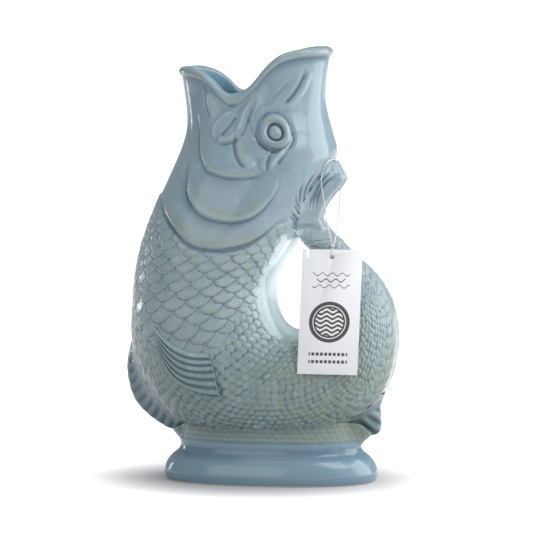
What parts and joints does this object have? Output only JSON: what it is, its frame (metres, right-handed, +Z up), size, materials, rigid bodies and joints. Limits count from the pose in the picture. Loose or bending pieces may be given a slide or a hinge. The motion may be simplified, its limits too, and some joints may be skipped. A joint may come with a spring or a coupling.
{
  "type": "fish-shaped gurgling jug",
  "caption": "Upright fish jug in glazed ceramic on an oval plinth: its open mouth pours, its curled-up tail is the handle, and a swing tag hangs from the tail fin on a loop of string.",
  "frame": {"origin": "on the ground under the middle of the object's box, at the bottom of the plinth's foot", "axes": "+Z up, +X from the fish's belly towards its curled tail, -Y the side that faces the viewer of the picture"},
  "size_m": [0.1837, 0.1072, 0.2888],
  "materials": {
    "glaze": "glossy pale blue-grey transparent glaze, darker where it pools in the carved lines, thin and lighter on the ridges",
    "string": "thin off-white twisted cotton string",
    "card": "matt white card, printed on the front"
  },
  "bodies": {
    "jug": {"body": "glaze", "tail": "glaze", "tail_fin": "glaze", "plinth": "glaze", "belly_fin": "glaze", "vent_fin": "glaze", "side_fin_left": "glaze", "side_fin_right": "glaze", "gill_cover_left": "glaze", "gill_cover_right": "glaze", "eye_left": "glaze", "eye_right": "glaze", "tag_string": "string"},
    "knot": {"string_knot": "string"},
    "tag": {"tag_loop": "string", "tag_card": "card"}
  },
  "joints": [
    {"name": "tag_sway", "type": "hinge", "parent": "jug", "child": "knot", "pos_m": [0.05184, -0.02071, 0.15853], "axis": [0, -0.9694, 0.2453], "range_deg": [-12, 12]},
    {"name": "tag_swing", "type": "hinge", "parent": "knot", "child": "tag", "pos_m": [0.05184, -0.02071, 0.15853], "axis": [-1, 0, 0], "range_deg": [0, 70]}
  ]
}
